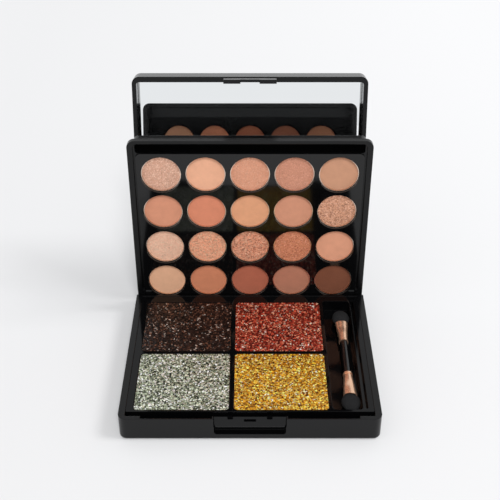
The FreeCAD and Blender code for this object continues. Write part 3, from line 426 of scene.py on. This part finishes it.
shade_plan = {
    "shade_1_1": ((211, 161, 137), SHIMMER),
    "shade_1_2": ((232, 174, 142), MATTE),
    "shade_1_3": ((218, 153, 124), SATIN),
    "shade_1_4": ((201, 140, 115), SATIN),
    "shade_1_5": ((198, 147, 118), MATTE),
    "shade_2_1": ((211, 145, 116), MATTE),
    "shade_2_2": ((215, 136, 106), MATTE),
    "shade_2_3": ((223, 161, 123), MATTE),
    "shade_2_4": ((206, 145, 117), MATTE),
    "shade_2_5": ((202, 147, 118), FLAKY),
    "shade_3_1": ((233, 182, 155), SATIN),
    "shade_3_2": ((243, 166, 132), SHIMMER),
    "shade_3_3": ((222, 149, 118), FLAKY),
    "shade_3_4": ((202, 129, 95), SHIMMER),
    "shade_3_5": ((218, 155, 125), MATTE),
    "shade_4_1": ((228, 176, 142), MATTE),
    "shade_4_2": ((210, 134, 100), MATTE),
    "shade_4_3": ((178, 102, 78), MATTE),
    "shade_4_4": ((182, 122, 98), MATTE),
    "shade_4_5": ((122, 73, 52), MATTE),
}
for node, (tone, kind) in shade_plan.items():
    dress(powder_finish(node + "_powder", linear(*tone), *kind), node)


# Powder cakes of the tray's rear face: the same pressed pigment in smaller tins, one finish for
# each row. The pans of a row go through five tones from left to right.
def along_x(tree, start, end):
    """A signal from 0 to 1 between two places across the part."""
    place = add_node(tree, "ShaderNodeTexCoord")
    across = add_node(tree, "ShaderNodeSeparateXYZ")
    tree.links.new(place.outputs["Object"], across.inputs["Vector"])
    reach = add_node(tree, "ShaderNodeMapRange", From_Min=start, From_Max=end)
    tree.links.new(across.outputs["X"], reach.inputs["Value"])
    return reach.outputs["Result"]


def tint_row(material, node, tones):
    """Gives the pans of one row their own tones, from left to right."""
    low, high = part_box(node)
    pan = high[2] - low[2]
    pitch = (high[0] - low[0] - pan) / (len(tones) - 1)
    first = low[0] + pan / 2 - pitch / 2
    tree = material.node_tree
    shader = tree.nodes["Principled BSDF"]
    pressed = shader.inputs["Base Color"].links[0].from_socket
    ramp = add_node(tree, "ShaderNodeValToRGB")
    tree.links.new(along_x(tree, first, first + pitch * len(tones)), ramp.inputs["Fac"])
    ramp.color_ramp.interpolation = "CONSTANT"
    stops = ramp.color_ramp.elements
    stops.remove(stops[1])
    stops[0].color = linear(*tones[0])
    for step, tone in enumerate(tones[1:], 1):
        stops.new(step / len(tones)).color = linear(*tone)
    tinted = mix_colour(tree, 1.0, pressed, ramp.outputs["Color"], "MULTIPLY")
    tree.links.new(tinted, shader.inputs["Base Color"])


rear_plan = {
    "rear_shades_1": (
        SATIN,
        [(210, 152, 118), (222, 142, 106), (186, 112, 82), (166, 104, 78), (176, 119, 88)],
    ),
    "rear_shades_2": (
        MATTE,
        [(170, 118, 90), (178, 110, 80), (150, 92, 70), (128, 80, 60), (140, 92, 68)],
    ),
    "rear_shades_3": (
        SHIMMER,
        [(160, 104, 78), (150, 92, 66), (138, 84, 62), (120, 74, 54), (128, 84, 62)],
    ),
    "rear_shades_4": (
        MATTE,
        [(142, 92, 70), (132, 80, 60), (118, 72, 54), (104, 64, 48), (96, 60, 46)],
    ),
}
for node, (kind, tones) in rear_plan.items():
    row_powder = powder_finish(node + "_powder", linear(255, 255, 255), *kind)
    tint_row(row_powder, node, tones)
    dress(row_powder, node)

# Mirror: silvered float glass, bonded to the bottom of the lid's recess.
# Wiping has left it very slightly uneven.
silvered, tree, shader = start_finish("silvered_glass", linear(250, 252, 253), metallic=1.0)
uneven_gloss(tree, shader, 30.0, 0.004, 0.02)
dress(silvered, "mirror")

# Applicator handle: a glossy black moulded rod, held in a metal ferrule at each end.
# The applicator lies loose in its well.
handle_gloss = moulded_black(
    "handle_gloss",
    0.45,
    (0.08, 0.14),
    grain_scale=1500.0,
    grain_depth=0.006 * MM,
    edge=0.3 * MM,
    colour=linear(12, 12, 13),
)
dress(handle_gloss, "applicator_handle")

# Ferrules: thin drawn tubes in rose gold plate, pushed onto the handle's ends.
# The wide end is pressed flat to grip the sponge's neck.
rose_gold, tree, shader = start_finish("rose_gold", linear(246, 200, 168), metallic=0.86)
uneven_gloss(tree, shader, 2400.0, 0.20, 0.36)
CRIMP = 0.36
CRIMP_START = 0.30
CRIMP_FULL = 0.72
CRIMP_RINGS = 16
SHARP_EDGE = math.radians(35)


def crimped_ferrule(node, outward):
    """The drawn cone with its wide end pressed flat."""
    low, high = (Vector(corner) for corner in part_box(node))
    middle = (low + high) / 2
    length = high.y - low.y
    shape = bmesh.new()
    shape.from_mesh(nodes[node].data)
    shape.transform(nodes[node].matrix_world)
    for step in range(1, CRIMP_RINGS):
        bmesh.ops.bisect_plane(
            shape,
            geom=[*shape.verts, *shape.edges, *shape.faces],
            plane_co=(0, low.y + length * step / CRIMP_RINGS, 0),
            plane_no=(0, 1, 0),
        )
    for vert in shape.verts:
        reach = (vert.co.y - middle.y) * outward / length + 0.5
        press = min(1.0, max(0.0, (reach - CRIMP_START) / (CRIMP_FULL - CRIMP_START)))
        press *= press * (3 - 2 * press)
        vert.co.z = middle.z + (vert.co.z - middle.z) * (1 - CRIMP * press)
    for face in shape.faces:
        face.smooth = True
    for edge in shape.edges:
        edge.smooth = edge.calc_face_angle(0.0) < SHARP_EDGE
    ferrule = put_in_scene(shape, node + "_crimped", rose_gold)
    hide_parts(node)
    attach(ferrule, "applicator")


crimped_ferrule("ferrule_front", -1)
crimped_ferrule("ferrule_rear", 1)

# Sponge tips: black latex foam, cut as a flattened egg and glued into the ferrule's mouth.
# The skin is full of tiny pores and gives way a little at its sides.
NECK_PULL = 0.42
NECK_CURVE = 1.6
FOAM_SIZE = 0.97
DENT_SCALE, DENT_DEPTH, DENT_OFFSET = 2.3, 0.018, 3.1
PIT_SCALE, PIT_DEPTH = 16.0, 0.012
foam, tree, shader = start_finish("foam_black", linear(30, 30, 31), roughness=0.95)
shader.inputs["Specular IOR Level"].default_value = 0.2
pores = object_noise(tree, 2600.0, 3.0, 0.7)
# The foam's colour follows the same noise as its dents: dark in the pores and light on the rises,
# partly the foam's own speckle, partly painted shade in the pores.
speckle_and_pore_shade = mix_colour(tree, pores.outputs["Fac"], linear(10, 10, 11), linear(48, 48, 49))
tree.links.new(speckle_and_pore_shade, shader.inputs["Base Color"])
dents = raise_bumps(tree, pores, strength=1.0, depth=0.4 * MM)
tree.links.new(dents.outputs["Normal"], shader.inputs["Normal"])


def sponge_tip(node, outward):
    """A flattened egg on the sponge's place, with its narrow neck inside the ferrule."""
    low, high = (Vector(corner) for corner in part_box(node))
    middle = (low + high) / 2
    half = (high - low) / 2
    shape = bmesh.new()
    bmesh.ops.create_icosphere(shape, subdivisions=5, radius=1.0)
    for vert in shape.verts:
        along = vert.co.y * outward
        full = 1.0 if along > 0 else 1.0 - NECK_PULL * min(1.0, -along) ** NECK_CURVE
        vert.co.x *= full
        vert.co.z *= full
        push = noise.noise(vert.co * DENT_SCALE + Vector((outward * DENT_OFFSET, 0, 0)))
        pit = noise.noise(vert.co * PIT_SCALE)
        vert.co *= FOAM_SIZE + DENT_DEPTH * push + PIT_DEPTH * pit
    bmesh.ops.scale(shape, vec=half, verts=shape.verts)
    bmesh.ops.translate(shape, vec=middle, verts=shape.verts)
    for face in shape.faces:
        face.smooth = True
    tip = put_in_scene(shape, node + "_foam", foam)
    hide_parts(node)
    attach(tip, "applicator")


sponge_tip("sponge_front", -1)
sponge_tip("sponge_rear", 1)

# The table top: a wide sheet of pale paper, which keeps the palette's soft shadow. Its colour is
# darker to the left: painted shade, for light that comes from the right.
FLOOR_HALF = 6.0
PAINTED_SHADE_REACH = 0.2
floor_shape = bmesh.new()
bmesh.ops.create_grid(floor_shape, x_segments=1, y_segments=1, size=FLOOR_HALF)
floor_paper, tree, shader = start_finish("floor_paper", linear(230, 230, 231), roughness=0.9)
shader.inputs["Specular IOR Level"].default_value = 0.0
# painted shade: the paper's colour grows darker towards the left
painted_shade_to_left = along_x(tree, -PAINTED_SHADE_REACH, PAINTED_SHADE_REACH)
paper_and_painted_shade = mix_colour(tree, painted_shade_to_left, linear(225, 225, 226), linear(234, 234, 235))
tree.links.new(paper_and_painted_shade, shader.inputs["Base Color"])
floor_piece = put_in_scene(floor_shape, "floor", floor_paper)

# Light: an even white surround, a little brighter in reflections as the real studio's cards are,
# with a soft lamp high in front of the palette and a weaker one to its right.
SURROUND = 0.52
SURROUND_MIRRORED = 0.84
SURROUND_SEEN = 0.42
scene = bpy.context.scene
surround = bpy.data.worlds.new("surround")
scene.world = surround
surround.use_nodes = True
tree = surround.node_tree
backdrop = tree.nodes["Background"]
backdrop.inputs["Color"].default_value = (0.98, 0.99, 1.0, 1.0)
ray = add_node(tree, "ShaderNodeLightPath")
in_mirrors = spread(tree, ray.outputs["Is Glossy Ray"], SURROUND, SURROUND_MIRRORED)
seen = spread(tree, ray.outputs["Is Camera Ray"], 0.0, SURROUND_SEEN)
level = add_node(tree, "ShaderNodeMath", {"operation": "ADD"})
tree.links.new(in_mirrors, level.inputs[0])
tree.links.new(seen, level.inputs[1])
tree.links.new(level.outputs["Value"], backdrop.inputs["Strength"])
for lamp_name, strength, softness, turn in (
    ("front_lamp", 1.9, 18, (42, 6, 0)),
    ("right_lamp", 0.9, 20, (3, 40, 0)),
):
    lamp_data = bpy.data.lights.new(lamp_name, "SUN")
    lamp_data.energy = strength
    lamp_data.angle = math.radians(softness)
    lamp = bpy.data.objects.new(lamp_name, lamp_data)
    lamp.rotation_euler = [math.radians(degrees) for degrees in turn]
    lamp.visible_glossy = False
    scene.collection.objects.link(lamp)

# Camera: in front of the palette and above it, looking down at it.
camera_data = bpy.data.cameras.new("camera")
camera_data.sensor_width = 36.0
camera_data.lens = 69.48
camera = bpy.data.objects.new("camera", camera_data)
camera.location = (0.0, -0.4039, 0.3515)
camera.rotation_euler = (math.radians(55.7), 0, 0)
scene.collection.objects.link(camera)
scene.camera = camera
scene.view_settings.view_transform = "Standard"
